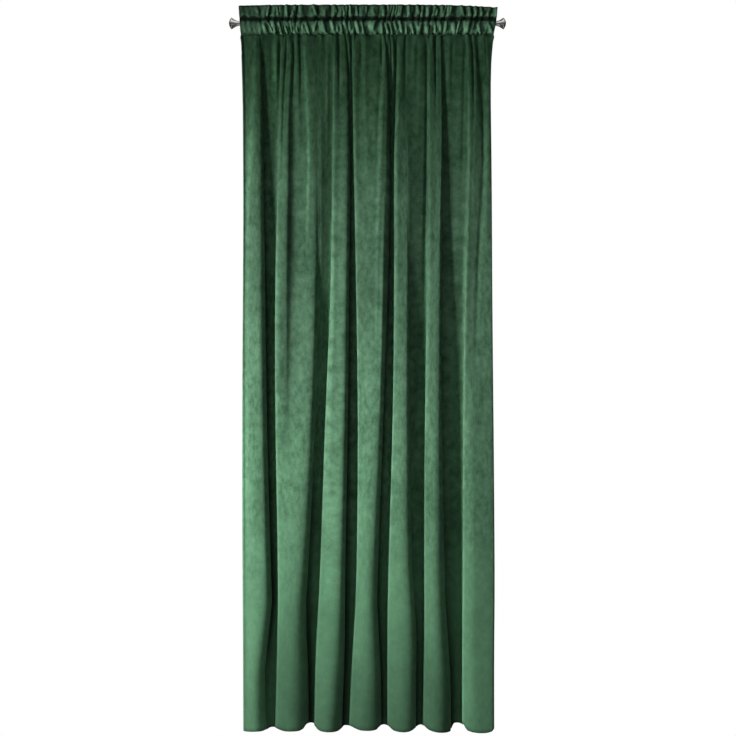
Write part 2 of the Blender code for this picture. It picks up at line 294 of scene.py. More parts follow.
# The hem's line in mm: place along the rod and how far the edge is above its lowest height;
# it dips under the middle of each fold and arches between two folds
hemLine = [
    (-490, 34), (-462, 17), (-453, 9), (-425, 7), (-396, 9), (-384, 12), (-373, 20), (-364, 25),
    (-353, 27), (-343, 25), (-333, 20), (-321, 14), (-304, 9), (-282, 8), (-253, 10), (-238, 19),
    (-230, 33), (-224, 40), (-213, 43), (-201, 42), (-195, 33), (-184, 15), (-167, 8), (-144, 5),
    (-121, 7), (-107, 12), (-98, 21), (-92, 32), (-81, 33), (-67, 32), (-55, 26), (-41, 18),
    (-24, 12), (9, 10), (32, 15), (40, 24), (49, 33), (63, 37), (77, 32), (86, 21), (97, 12),
    (115, 7), (135, 5), (154, 8), (166, 14), (177, 23), (189, 33), (199, 36), (208, 33),
    (215, 25), (226, 15), (243, 8), (266, 3), (292, 5), (306, 9), (313, 17), (319, 36),
    (325, 41), (335, 43), (346, 41), (355, 37), (361, 23), (369, 12), (387, 6), (412, 2),
    (441, 3), (461, 9), (469, 22), (490, 40),
]
hemShape = {
    "sag": 0.29,  # how much lower the hem hangs, for each bit that it lies further back
    "dip": 0.005,  # and the furthest it dips below the folds' fronts
    "reach": 0.3,  # height over which its waves fade out
}

# Fine pleats and creases under the pocket, in mm: how far one comes forward (a crease
# goes back), how wide its left and right flanks are, which of the heights it starts at,
# and its place there and at each height further down to where it ends
pleatHeights = (
    -0.041, -0.140, -0.285, -0.525, -0.805, -1.215, -1.475, -1.775, -2.070, -2.350, -2.630
)
pleatShape = {
    "crest": 0.7,  # a pleat's crest lies this many left widths to the right of its place
    "atSeam": (0.35, 0.05),  # share of its height at the seam, and how far below it is whole
    "lowerDown": (0.0, 0.3),  # the same for one that starts further down
}
pleats = [
    (5, 7, 26, 0, -415, -418, -426, -435, -446), (7, 5, 8, 0, -342, -344, -342),
    (3, 5, 16, 0, -316, -322, -326, -329, -337, -335, -340), (3, 5, 6, 0, -288, -288, -296, -303),
    (3, 9, 8, 0, -266, -264, -262, -255), (8, 5, 36, 0, -236, -234, -223, -216, -226),
    (2, 7, 6, 0, -147, -151, -153, -153), (5, 5, 14, 0, -121, -125, -126, -126, -128, -130),
    (5, 4, 4, 0, -71, -70, -66), (4, 8, 12, 4, -131, -136, -142, -150),
    (3, 5, 12, 0, -50, -50, -52, -46, -39), (3, 5, 12, 0, -9, -15, -13, -2),
    (5, 6, 12, 0, 65, 61, 52, 44, 35, 30), (4, 8, 6, 3, 60, 53, 47, 40),
    (5, 4, 4, 0, 80, 80, 72, 62), (5, 4, 4, 0, 93, 93, 90),
    (4, 5, 20, 0, 117, 117, 112, 104, 106, 102),
    (2, 9, 9, 0, 169, 167, 162), (2, 12, 10, 0, 195, 190, 182, 175),
    (3, 4, 14, 0, 229, 229, 227, 229, 229, 225, 221), (2, 4, 6, 0, 270, 270, 275, 272, 262),
    (3, 8, 8, 0, 299, 299, 296), (2, 16, 12, 0, 348, 344, 336, 326, 320, 318),
    (4, 6, 14, 0, 374, 374, 377, 374, 364, 355, 355), (2, 6, 10, 0, 400, 400, 400, 392, 385),
    (4, 9, 14, 0, 430, 436, 441, 437, 430),
    (-3, 6, 6, 0, -355, -357, -355), (-4, 4, 4, 0, -326, -327, -327),
    (-5, 4, 4, 0, -299, -303, -311, -314), (-6, 5, 6, 0, -273, -273, -281),
    (5, 12, 44, 1, -327, -329, -333, -338, -338, -336),
    (10, 24, 12, 1, -309, -309, -312, -317, -319, -319),
    (4, 40, 10, 4, -220, -226, -232, -245, -262, -270),
    (-5, 5, 5, 0, -253, -249, -246), (-5, 4, 5, 0, -106, -106, -103),
    (-7, 4, 4, 0, -61, -61, -58, -61), (-3, 5, 6, 0, -24, -24, -35),
    (-5, 5, 4, 0, 54, 53, 44, 32), (-7, 5, 5, 0, 106, 108, 106, 95),
    (-4, 7, 7, 0, 140, 140, 143), (-3, 6, 6, 0, 184, 186, 175),
    (-5, 7, 5, 0, 223, 223, 222, 219, 214, 212), (-6, 4, 4, 0, 251, 253, 255),
    (-3, 6, 6, 0, 318, 314, 311), (-3, 6, 5, 0, 366, 361, 358, 352),
    (-5, 4, 4, 0, 389, 392, 396), (-5, 8, 9, 0, 411, 413, 429, 434, 415, 398),
    (-3, 4, 4, 0, 437, 441, 448), (-4, 50, 40, 2, 411, 415, 415, 415, 415, 415, 415, 415, 415),
    (9, 32, 62, 5, 374, 374, 374, 374, 374, 374),
    (3, 12, 24, 3, -446, -446, -446, -446, -448, -450),
    (4, 2, 4, 0, -474, -465, -461, -460, -460, -462, -461, -460, -459, -458, -457),
]

# Patches of painted light and painted shade, in mm: middle, half width and half height of
# the patch, and how much lighter it is painted
brushedAndPaintedShade = [
    (-433, -500, 26, 200, 0.85), (-351, -480, 15, 160, -0.60), (-311, -1050, 20, 380, -0.60),
    (-270, -1220, 40, 130, -0.35), (303, -1050, 26, 420, 0.60), (-305, -2330, 50, 260, -0.38),
    (358, -2280, 22, 260, 0.42), (20, -1350, 45, 250, 0.26), (-212, -500, 22, 170, 0.50),
    (165, -500, 28, 200, -0.35), (420, -560, 16, 170, -0.42), (-250, -1830, 50, 120, -0.20),
    (221, -600, 9, 330, -0.70), (-281, -740, 13, 170, -0.60), (312, -550, 14, 170, -0.60),
    (121, -660, 18, 110, 0.35), (178, -800, 20, 120, -0.30), (-308, -400, 10, 60, -0.35),
    (-166, -1770, 6, 250, -0.55), (-400, -1770, 32, 130, -0.45), (-412, -1210, 26, 120, 0.40),
    (-5, -990, 45, 90, -0.40), (-55, -1570, 12, 250, 0.60), (72, -1500, 12, 300, 0.60),
    (411, -1510, 34, 200, -0.20), (-122, -1100, 13, 200, 0.50), (-180, -730, 8, 130, -0.75),
    (-275, -900, 14, 150, -0.65), (-330, -1215, 28, 110, -0.32), (-305, -1475, 22, 110, -0.20),
    (28, -1000, 16, 80, -0.35), (172, -1475, 16, 120, -0.45), (323, -650, 12, 90, -0.45),
    (90, -240, 9, 90, 1.20), (-66, -210, 7, 90, 1.00), (-422, -250, 9, 80, 0.45),
    (-342, -170, 8, 70, 1.20), (-231, -200, 8, 120, 0.40), (-370, -600, 12, 190, 0.75),
    (370, -640, 7, 90, -0.30), (418, -240, 14, 110, -0.70), (316, -290, 16, 80, -0.50),
    (152, -290, 16, 70, -0.40), (166, -130, 7, 60, 0.50), (-208, -270, 22, 80, 0.35),
]


def foldNet():
    # control points of the folds: a row for each level, a column for each point across;
    # each is placed along its ridge or its floor, at a share of the level's depth
    edges, right = np.array(foldEdges).T / 1000, np.array(foldCreases).T / 1000
    depths = np.array(levels)[:, 1]
    floors, leans, pinches, tilts, rounding = [
        np.array(table).T
        for table in (floorDepths, floorLeans, floorPinches, foldTilts, foldRounding)
    ]
    across, backward, clothPlace = [], [], []

    def put(share, x, back, start, end):
        clothPlace.append(start[0] + share * (end[0] - start[0]))
        across.append(x)
        backward.append((back - 0.5) * depths)

    for fold in range(len(foldEdges)):
        toHem = rounding[:, fold]
        last = fold == len(foldEdges) - 1
        edge, crease = edges[:, fold], right[:, fold]
        after = crease if last else edges[:, fold + 1]
        before = floors[:, fold - 1] + leans[:, fold - 1] if fold else foldShape["firstBack"]
        beside = foldShape["lastBack"] if last else floors[:, fold] + pinches[:, fold]
        soft = 0 if last else np.clip(foldShape["softUpTo"] - beside, 0, 1)
        for order, row in enumerate(ridgeProfile):
            share, chestPlace, chestBack, hemPlace, hemBack, softShift = row
            place = chestPlace + toHem * (hemPlace - chestPlace) + soft * softShift
            back = chestBack + toHem * (hemBack - chestBack)
            back = back * (before if order < foldShape["ridgeLeft"] else beside)
            back = back + tilts[:, fold] * (np.clip(chestPlace, 0, 1) - 0.5)
            share = share / ridgeProfile[-1][0] if last else share
            put(share, edge + place * (crease - edge), back, edge, after)
        for share, place, pinchShare, leanShare in [] if last else floorProfile:
            back = floors[:, fold] + (pinches[:, fold] * pinchShare + leans[:, fold] * leanShare)
            place = np.maximum(place, place * (1 - soft))
            put(share, crease + place * (after - crease), back, edge, after)
    return np.array(across).T, np.array(backward).T, np.array(clothPlace)


def stretched(columns, left, right):
    # the columns' places in a row that runs from left to right
    share = (columns - curtain["left"]) / (curtain["right"] - curtain["left"])
    return left + share * (right - left)


# How uneven the gathers are
gatherRange = {
    "ends": (0.8, 1.5),  # half depths at the cloth's two sides, in mm
    "share": (0.65, 1.35),  # how much deeper or flatter a gather is in each pattern
    "valley": (0.32, 0.68),  # place of the valley between two crests
    "crisp": (0.1, 0.8),  # from round to straight flanks
    "reach": (0.02, 0.05),  # how far below the lower seam it dies away
}


def gatherField(columns):
    # the gathers' number, counted in crests, at every column for each of the three
    # patterns, and what each gather's own shape is
    table = np.array(gathers, float)
    ends = [curtain["left"] * 1000, curtain["right"] * 1000]
    crests = [np.concatenate([ends[:1], table[:, i], ends[1:]]) / 1000 for i in (2, 1, 0)]
    first, last = gatherRange["ends"]
    depth = np.concatenate([[first], table[:, 3], [last]]) / 1000
    numbers = np.arange(len(depth))
    rng = np.random.default_rng(curtain["seed"])
    own = {
        "depth": depth,
        "share": rng.uniform(*gatherRange["share"], (len(crests), len(depth))),
        "valley": rng.uniform(*gatherRange["valley"], len(depth)),
        "crisp": rng.uniform(*gatherRange["crisp"], len(depth)),
        "reach": rng.uniform(*gatherRange["reach"], len(depth)),
    }
    return np.stack([np.interp(columns, crest, numbers) for crest in crests]), own


def gatherWave(number, pattern, own):
    # from 1 at a crest down to -1 at the valley after it, part cosine and part straight
    # flanks, times the gather's own depth
    count = len(own["depth"])
    index = np.clip(np.floor(number).astype(int), 0, count - 2)
    part = number - index
    valley, crisp = own["valley"][index], own["crisp"][index]
    phase = np.where(part < valley, part / valley, 1 + (part - valley) / (1 - valley))
    straight = np.abs(2 * phase - 2) - 1
    wave = crisp * straight + (1 - crisp) * np.cos(math.pi * phase)
    low = np.clip(np.floor(pattern).astype(int), 0, 1)
    lower, upper = own["share"][low], own["share"][low + 1]
    depth = own["depth"] * (lower + (pattern - low)[..., None] * (upper - lower))
    rows = np.arange(number.shape[0])[:, None]
    return wave * (depth[rows, index] + part * (depth[rows, index + 1] - depth[rows, index]))


fineShape = {
    "height": 1.15,  # all the fine folds' heights are multiplied by this
    "drop": 0.35,  # width of a fold's right side, as a share of its left side's
    "leastDrop": 3.0,  # and the least it is, in mm
    "fadeStart": (-0.45, 0.35),  # where along it a fold starts to fade in from one of its ends
    "fade": 0.25,  # length of that fade; both are shares of the fold's length
}


def fineFolds(x, z, folds, bottom, top):
    # how far forward the fine folds bring the cloth: each rises in a straight line along its
    # left side and drops sooner on its right; some fade out before one of their ends
    share = np.clip((z - bottom) / (top - bottom), 0, 1)
    forward = np.zeros_like(x)
    rng = np.random.default_rng(curtain["seed"])
    ends = rng.uniform(*fineShape["fadeStart"], (len(folds), 2))
    fade = fineShape["fade"]
    for (height, lowPlace, lowWidth, highPlace, highWidth), (low, high) in zip(folds, ends):
        width = lowWidth + share * (highWidth - lowWidth)
        drop = np.maximum(fineShape["drop"] * width, fineShape["leastDrop"])
        side = 1000 * x - (lowPlace + share * (highPlace - lowPlace) + width / 2)
        rise = np.where(side < 0, 1 + side / width, 1 - side / drop)
        there = easing(share, low, low + fade) * easing(1 - share, high, high + fade)
        forward += fineShape["height"] * height / 1000 * np.clip(rise, 0, 1) * there
    return forward


dentShape = {"depth": 0.0008, "waves": 8, "shortest": 0.013, "longest": 0.030}


def crumpled(x, z):
    # small dents: the sum of sine waves that run every way, over the root of their number
    rng = np.random.default_rng(curtain["seed"])
    waves = dentShape["waves"]
    shortest, longest = (dentShape["shortest"], 0, 0), (dentShape["longest"], math.pi, 2 * math.pi)
    dents = np.zeros_like(x)
    for length, turn, start in rng.uniform(shortest, longest, (waves, 3)):
        dents += np.sin(2 * math.pi / length * (x * np.cos(turn) + z * np.sin(turn)) + start)
    return dentShape["depth"] * (dents / math.sqrt(waves))


def easing(value, start, end):
    # 0 at the start and 1 at the end: three times the share squared, less twice its cube
    share = np.clip((value - start) / (end - start), 0, 1)
    return share * share * (3 - 2 * share)


# How the heading's cloth follows its fine folds; each pair is where something starts and
# where it is whole
foldedShape = {
    "ruffleFade": (0, 0.007),  # the ruffle's folds, above the upper stitch line
    "upperFade": (0.006, 0.018),  # the pocket's folds, below the upper stitch line
    "lowerFade": (-0.002, 0.006),  # and above the lower seam
    "foldTop": 0.013,  # the pocket's folds are placed up to this far below the upper line
    "sag": 0.35,  # how far a fold of the pocket sinks at the seam, as a share of its height
    "sagOff": (0.001, 0.006),  # distance in front of the stitch lines
    "sagDown": (-0.022, -0.002),  # below the lower seam
    "pinch": 0.0070,  # how far the cloth between two of the pocket's folds is drawn in
    "pinchLow": (0, 0.004),  # height of a fine fold over which the pinch ends
    "pinchOff": (0.001, 0.008),  # distance in front of the stitch lines
    "pinchDown": (0.008, 0.026),  # below the rod's middle
    "scallop": 0.6,  # how far the pinched cloth is drawn up, as a share of the pinch
    "scallopDown": (0.030, 0.042),  # below the rod's middle
}


def headingRows(section, columns, field, own, folds):
    # rows of one run of the heading: the section's distance, with the gathers in front of it
    height, off, share, pattern, left, right = [part[:, None] for part in section.T]
    x = stretched(columns, left, right)
    low = np.clip(np.floor(pattern[:, 0]).astype(int), 0, 1)
    number = field[low] + (pattern - low[:, None]) * (field[low + 1] - field[low])
    wave = share * gatherWave(number, pattern[:, 0], own)
    z = np.repeat(height, len(columns), axis=1)
    seam, upper, top = heading["seam"], heading["stitches"], heading["top"]
    shape = foldedShape
    if folds == "ruffle":
        fine = fineFolds(x, z, ruffleFolds, upper, top) + crumpled(x, z)
        wave += fine * easing(z - upper, *shape["ruffleFade"])
    if folds == "pocket":
        fine = fineFolds(x, z, pocketFolds, seam, upper - shape["foldTop"]) + crumpled(x, z)
        sag = shape["sag"] * fine * easing(off, *shape["sagOff"])
        sag *= easing(seam - z, *shape["sagDown"])
        pinch = (1 - easing(fine, *shape["pinchLow"])) * easing(off, *shape["pinchOff"])
        pinch *= shape["pinch"] * easing(-z, *shape["pinchDown"])
        fine *= easing(z - seam, *shape["lowerFade"]) * easing(upper - z, *shape["upperFade"])
        wave += fine - pinch
        z = z - sag + shape["scallop"] * pinch * easing(-z, *shape["scallopDown"])
    droop = np.where(columns < 0, curtain["leftDroop"], curtain["rightDroop"])
    droop = droop * (columns / curtain["right"]) ** curtain["droopPower"]
    z = z - np.clip((z - upper) / (top - upper), 0, 1) * droop
    return np.stack([x, -off - wave, z], axis=-1)


bodyGrid = {
    "inHem": (0, 0.0012, 0.004, 0.020, 0.040),  # heights of the hem's rows above its edge
    "hemStep": (-0.0015, 0.001),  # the two rows where the hem's thick cloth ends
    "aboveHem": 0.03,  # from the hem's top to the next row
    "middle": (-1.0, -0.930),  # last row of the lower part and first row of the upper part
    "pleated": 0.115,  # height of the part under the pocket whose rows lie closer
    "closing": 1.35,  # how fast they close up
    "rows": (13, 12, 11),  # in the lower, the upper and the pleated part
    "fineLevels": 601,  # steps in which a row's height is looked up
}


def pleated(x, z):
    # how far forward the pleats bring the cloth: each is a bell curve across, its height
    # times the root of one less the run down it squared, and it rises below its start
    heightsDown = -np.array(pleatHeights)
    forward = np.zeros_like(x)
    for height, leftWidth, rightWidth, first, *places in pleats:
        down = heightsDown[first : first + len(places)]
        shift = pleatShape["crest"] * leftWidth if height > 0 else 0
        side = 1000 * x - (np.interp(-z, down, places) + shift)
        flank = np.where(side < 0, leftWidth, rightWidth)
        run = np.clip((-z - down[0]) / (down[-1] - down[0]), 0, 1)
        start, reachDown = pleatShape["lowerDown" if first else "atSeam"]
        rise = np.clip(start + (1 - start) * (-z - down[0]) / reachDown, 0, 1)
        forward += height / 1000 * rise * np.sqrt(1 - run**2) * np.exp(-((side / flank) ** 2))
    return forward


def bodyRows(columns, field, own):
    # the hanging part as rows from the hem up: the splines' weights down times the net's
    # points times the weights across, with the pleats and the gathers in front of it
    netX, netY, clothPlace = foldNet()
    heights = np.array(levels)[:, 0]
    fine = np.linspace(0, len(levels) - 1, bodyGrid["fineLevels"])
    fineHeight = splineWeights(fine, len(levels)) @ heights
    bottom, top = heights[-1], heights[0]
    hem = curtain["hemHeight"]
    lowerEnd, upperStart = bodyGrid["middle"]
    lowerRows, upperRows, pleatedRows = bodyGrid["rows"]
    closer = (1 - np.linspace(0, 1, pleatedRows + 2)[1:-1]) ** bodyGrid["closing"]
    rowHeights = np.concatenate([
        bottom + np.array([*bodyGrid["inHem"], *(hem + step for step in bodyGrid["hemStep"])]),
        np.linspace(bottom + hem + bodyGrid["aboveHem"], lowerEnd, lowerRows),
        np.linspace(upperStart, top - bodyGrid["pleated"], upperRows),
        top - bodyGrid["pleated"] * closer,
    ])
    rowLevels = np.interp(-rowHeights, -fineHeight, fine)
    down = splineWeights(rowLevels, len(levels))
    places = stretched(columns, clothPlace[0], clothPlace[-1])
    order = np.interp(places, clothPlace, np.arange(len(clothPlace)))
    across = splineWeights(order, len(clothPlace))
    x, y = down @ netX @ across.T, down @ netY @ across.T
    z = np.repeat(rowHeights[:, None], len(columns), axis=1)
    y -= pleated(x, z)
    number = np.repeat(field[:1], len(rowHeights), axis=0)
    reach = np.interp(field[0], np.arange(len(own["reach"])), own["reach"])
    wave = gatherWave(number, np.zeros(len(rowHeights)), own)
    y -= wave * np.exp((z - top) / reach)
    turn, furthest = curtain["backTurn"], curtain["backmost"]
    flatter = turn + (furthest - turn) * np.tanh((y - turn) / (furthest - turn))
    y = np.where(y > turn, flatter, y)
    hemPlace, hemLift = np.array(hemLine, float).T
    order = np.interp(1000 * x.ravel(), hemPlace, np.arange(len(hemPlace)))
    lift = (splineWeights(order, len(hemPlace)) @ hemLift).reshape(x.shape) / 1000
    lift = lift - hemShape["sag"] * np.clip(y - y[0].min(), 0, None)
    lift = np.maximum(lift, -hemShape["dip"])
    z += lift * np.clip(1 - (z - bottom) / hemShape["reach"], 0, 1)
    return np.stack([x, y, z], axis=-1)


def sheetNormals(points):
    # the cross product of the steps across and the steps up, which points to the pile side
    step = np.cross(np.gradient(points, axis=1), np.gradient(points, axis=0))
    return step / np.linalg.norm(step, axis=-1, keepdims=True)


def linked(name, data):
    # a new object with this mesh, lamp or lens, in the scene
    thing = bpy.data.objects.new(name, data)
    bpy.context.scene.collection.objects.link(thing)
    return thing


def closedSheet(name, front, back, uv, paintedShading):
    # a grid seen from its front, the same grid behind it turned over, and a rim of quads
    rows, count = front.shape[:2]
    corner = np.arange(rows * count).reshape(rows, count)
    quads = np.stack(
        [corner[:-1, :-1], corner[:-1, 1:], corner[1:, 1:], corner[1:, :-1]], axis=-1
    ).reshape(-1, 4)
    loop = np.concatenate([corner[0, :-1], corner[:-1, -1], corner[-1, :0:-1], corner[:0:-1, 0]])
    after = np.roll(loop, -1)
    behind = rows * count
    rim = np.stack([loop, loop + behind, after + behind, after], axis=-1)
    faces = np.concatenate([quads, quads[:, ::-1] + behind, rim])
    mesh = bpy.data.meshes.new(name)
    mesh.from_pydata(
        np.concatenate([front.reshape(-1, 3), back.reshape(-1, 3)]).tolist(), [], faces.tolist()
    )
    layer = mesh.uv_layers.new(name="Flat")
    pairs = np.concatenate([uv.reshape(-1, 2), uv.reshape(-1, 2)])
    layer.data.foreach_set("uv", pairs[faces.reshape(-1)].astype(np.float32).ravel())
    # the painted light and shade, kept on the points for the material
    shadingLayer = mesh.attributes.new("paintedShading", "FLOAT", "POINT")
    shadingLayer.data.foreach_set("value", np.tile(paintedShading.ravel(), 2).astype(np.float32))
    mesh.shade_smooth()
    mesh.validate()
    return linked(name, mesh)


# The heading's runs in the order of the cloth: section, number of rows, fine folds, and
# how much painted shade darkens the cloth between the folds
headingRuns = [
    (pocketSection, 19, "pocket", 0.15), (ruffleSection, 13, "ruffle", 0.75),
    (turnSection, 5, "ruffle", 0), (backSection, 5, "ruffle", 0), (backPocketSection, 7, "", 0),
]

# Where light and shade are painted on the cloth; each pair is where that starts and where it is
# whole
paintedShadingShape = {
    "raised": (-0.001, 0.003),  # distance forward where the heading's cloth isn't hollow and gets no painted shade
    "underside": -0.55,  # painted shade on the pocket's underside
    "undersideSlope": (0.1, 0.4),  # how far the cloth faces down
    "undersideDown": (0.039, 0.042),  # below the rod's middle
    "leftFlank": 0.5,  # painted shade: how much darker the folds' left flanks are near the hem
    "flankSlope": (0.3, 0.9),
    "flankDown": (1.6, 2.3),  # below the rod's middle
    "flankLeftOf": (0.34, 0.32),  # not on the last fold
    "deepFold": 0.7,  # painted shade: how much darker the cloth is deep in the folds
    "deepFrom": 0.022,  # how far back that starts
}


def paintShading(middle, normals, body, hollowShades):
    # painted light and shade: in the heading a painted highlight by how far the cloth slopes
    # back to the left, less painted shade in its hollows; in the hanging part painted shade at
    # left flanks and deep in the folds, with painted patches, each a bell curve both ways
    shape = paintedShadingShape
    slope = -np.gradient(middle[..., 1], axis=1) / np.gradient(middle[..., 0], axis=1)
    # painted light where the cloth faces left, toward the key light, and painted shade where it
    # faces right
    paintedShading = np.clip(slope, -1, 1)
    paintedShading[: len(hollowShades)] -= hollowShades
    pocket = slice(len(body), len(body) + headingRuns[0][1])
    # painted shade on the pocket's underside
    underside = easing(-normals[pocket, :, 2], *shape["undersideSlope"])
    underside *= easing(-middle[pocket, :, 2], *shape["undersideDown"])
    paintedShading[pocket] += underside * (shape["underside"] - paintedShading[pocket])
    x, y, z = np.moveaxis(body, -1, 0)
    # painted shade on the left flanks near the hem and deep in the folds
    flank = easing(slope[: len(body)], *shape["flankSlope"])
    low = easing(-z, *shape["flankDown"]) * easing(x, *shape["flankLeftOf"])
    deep = easing(y, shape["deepFrom"], curtain["backmost"])
    hanging = -shape["leftFlank"] * flank * low - shape["deepFold"] * deep
    # patches of painted light, and of painted shade where negative
    for placeX, placeZ, halfWidth, halfHeight, lighter in brushedAndPaintedShade:
        away = ((1000 * x - placeX) / halfWidth) ** 2 + ((1000 * z - placeZ) / halfHeight) ** 2
        hanging += lighter * np.exp(-away)
    paintedShading[: len(body)] = hanging
    return paintedShading


def makeCurtain():
    columns = np.linspace(curtain["left"], curtain["right"], curtain["columns"])
    field, own = gatherField(columns)
    body = bodyRows(columns, field, own)
    half = (curtain["thickness"] + curtain["layerGap"]) / 2
    parts, hollowShades = [body], [np.zeros(body.shape[:2])]
    for order, (section, count, folds, darker) in enumerate(headingRuns):
        section = sectionRows(section, count)
        rows = headingRows(section, columns, field, own, folds)
        forward = -rows[..., 1] - section[:, 1:2]
        # painted shade between the fine folds, where the cloth lies back
        hollowShade = darker * (1 - easing(forward, *paintedShadingShape["raised"]))
        hollowShades.append(hollowShade[1 if order else 0 :])
        gap = sheetNormals(rows) * half
        gap[..., 2] = 0
        parts.append((rows + gap)[1 if order else 0 :])
    # the flap under the lower stitch line stays behind the hanging part at the same place
    flap = np.repeat(parts[-1][-1:], len(curtain["flapDrops"]), axis=0)
    flap[..., 2] -= np.array(curtain["flapDrops"])[:, None]
    hanging = body[-curtain["flapBehind"] :]
    beside = [np.interp(flap[0, :, 0], row[:, 0], row[:, 1]) for row in hanging]
    flap[..., 1] = np.maximum(flap[..., 1], np.max(beside, axis=0) + 2 * half)
    parts.append(flap)
    middle = np.concatenate(parts)
    normals = sheetNormals(middle)
    fromSide = np.minimum(columns - columns[0], columns[-1] - columns)
    belowSeam = middle[..., 2] < heading["seam"] - curtain["sideHemStart"]
    hemmed = (np.arange(len(middle)) < curtain["hemRows"])[:, None] | (
        (fromSide < curtain["sideHemWidth"] * curtain["gathered"]) & belowSeam
    )
    thickness = np.where(hemmed, curtain["hemThickness"], curtain["thickness"])[..., None]
    front = middle + normals * curtain["thickness"] / 2
    back = front - normals * thickness
    lengths = np.linalg.norm(np.diff(middle, axis=0), axis=-1).mean(axis=1)
    along = np.concatenate([[0], np.cumsum(lengths)])
    share = (columns - columns[0]) / (columns[-1] - columns[0])
    uv = np.stack(np.meshgrid(share * curtain["width"], along), axis=-1)
    print("curtain: rows", middle.shape[0], "cloth length", round(float(along[-1]), 3))
    paintedShading = paintShading(middle, normals, body, np.concatenate(hollowShades))
    piece = closedSheet("velvet_curtain", front, back, uv, paintedShading)
    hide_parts("curtain_panel")
    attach(piece, "root")
    # places along the cloth of the lower seam, the upper one and the ruffle's top
    rowAt = np.cumsum([len(body), headingRuns[0][1] - 1, headingRuns[1][1] - 1])
    return piece, [float(along[row]) for row in rowAt]


velvetCurtain, seamPlaces = makeCurtain()
print("curtain made:", len(velvetCurtain.data.polygons), "faces")


# the finials
finial = {
    "start": 0.4805,  # distance of the open end from the rod's middle
    "socketRadius": 0.0083,
    "socketDepth": 0.0118,
    "socketBevel": 0.0004,
    "tip": 0.0003,  # radius of the small flat in the middle of the socket's bottom
    "sides": 64,
    "rowsForEach": 5,  # rings for each point of the outline
    "sharpAngle": 50,
}

# A finial's outline from its open end: distance along the rod and radius
finialOutline = [
    (0.0000, 0.0092), (0.0004, 0.0096), (0.0040, 0.0099), (0.0080, 0.0110), (0.0120, 0.0128),
    (0.0165, 0.0156), (0.0205, 0.0183), (0.0236, 0.0203), (0.0246, 0.0207), (0.0256, 0.0206),
    (0.0268, 0.0196), (0.0290, 0.0170), (0.0318, 0.0122), (0.0340, 0.0062), (0.0348, 0.0003),
]


def makeFinial(name, side):
    # the socket's outline and the outer one turned about the rod: y is the radius times the
    # turn's cosine, z the radius times its sine
    smooth = sectionRows(finialOutline, finial["rowsForEach"] * len(finialOutline))
    radius, depth, bevel = finial["socketRadius"], finial["socketDepth"], finial["socketBevel"]
    socket = np.array([
        (depth, finial["tip"]), (depth, radius - bevel), (depth - bevel, radius), (0, radius)
    ])
    alongRod, radii = np.concatenate([socket, smooth]).T
    turns = np.linspace(0, 2 * math.pi, finial["sides"], endpoint=False)
    rings = np.stack([
        np.repeat(side * (finial["start"] + alongRod)[:, None], len(turns), axis=1),
        np.outer(radii, np.cos(turns)), np.outer(radii, np.sin(turns)),
    ], axis=-1)
    corner = np.arange(rings.shape[0] * len(turns)).reshape(rings.shape[:2])
    after = np.roll(corner, -1, axis=1)
    quads = np.stack([corner[:-1], after[:-1], after[1:], corner[1:]], axis=-1).reshape(-1, 4)
    ends = [corner[0, ::-1], corner[-1]]
    if side < 0:
        quads, ends = quads[:, ::-1], [end[::-1] for end in ends]
    mesh = bpy.data.meshes.new(name)
    faces = quads.tolist() + [end.tolist() for end in ends]
    mesh.from_pydata(rings.reshape(-1, 3).tolist(), [], faces)
    mesh.shade_smooth()
    mesh.set_sharp_from_angle(angle=math.radians(finial["sharpAngle"]))
    piece = linked(name, mesh)
    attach(piece, "root")
    return piece


finials = {}
for node, side in (("finial_left", -1), ("finial_right", 1)):
    finials[node] = makeFinial("turned_" + node, side)
    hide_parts(node)
print("finials made")


class Value:
    # an output socket that can be added, multiplied and so on, adding Math nodes
    def __init__(self, tree, socket):
        self.tree, self.socket = tree, socket

    def sum(self, operation, first, second):
        return self.tree.add("ShaderNodeMath", {"operation": operation}, {0: first, 1: second})

    def __add__(self, other):
        return self.sum("ADD", self, other)

    __radd__ = __add__

    def __sub__(self, other):
        return self.sum("SUBTRACT", self, other)

    def __rsub__(self, other):
        return self.sum("SUBTRACT", other, self)

    def __mul__(self, other):
        return self.sum("MULTIPLY", self, other)

    __rmul__ = __mul__


class Tree:
    # the nodes of a material, or of the world when its node tree is given
    def __init__(self, name, own=None):
        if own is None:
            self.material = bpy.data.materials.new(name)
            self.material.use_nodes = True
            own = self.material.node_tree
        self.nodes, self.links = own.nodes, own.links
        self.surface = self.nodes.get("Principled BSDF")

    def set(self, node, inputs):
        for key, value in inputs.items():
            if isinstance(value, Value):
                self.links.new(value.socket, node.inputs[key])
            else:
                node.inputs[key].default_value = value

    def add(self, kind, settings=None, inputs=None, output=0):
        node = self.nodes.new(kind)
        for key, value in (settings or {}).items():
            setattr(node, key, value)
        self.set(node, inputs or {})
        return Value(self, node.outputs[output])

    def mixed(self, factor, first, second):
        # numbers: the first where the factor is 0, the second where it is 1
        return self.add("ShaderNodeMix", {"data_type": "FLOAT"}, {0: factor, 2: first, 3: second})

    def mix(self, factor, first, second):
        # the same for colours
        return self.add(
            "ShaderNodeMix", {"data_type": "RGBA"}, {0: factor, 6: first, 7: second}, 2
        )

    def smooth(self, value, start, end):
        # 0 at the start and 1 at the end, smoothly
        return self.add(
            "ShaderNodeMapRange", {"interpolation_type": "SMOOTHSTEP"},
            {0: value, 1: start, 2: end, 3: 0.0, 4: 1.0},
        )

    def distance(self, value, line):
        # how far a value is from a line, either way
        return self.add("ShaderNodeMath", {"operation": "ABSOLUTE"}, {0: value - line})

    def noise(self, place, scale, detail, roughness, stretch=(1, 1, 1)):
        spread = self.add("ShaderNodeMapping", {}, {0: place, 3: stretch})
        return self.add(
            "ShaderNodeTexNoise", {},
            {"Vector": spread, "Scale": scale, "Detail": detail, "Roughness": roughness},
        )


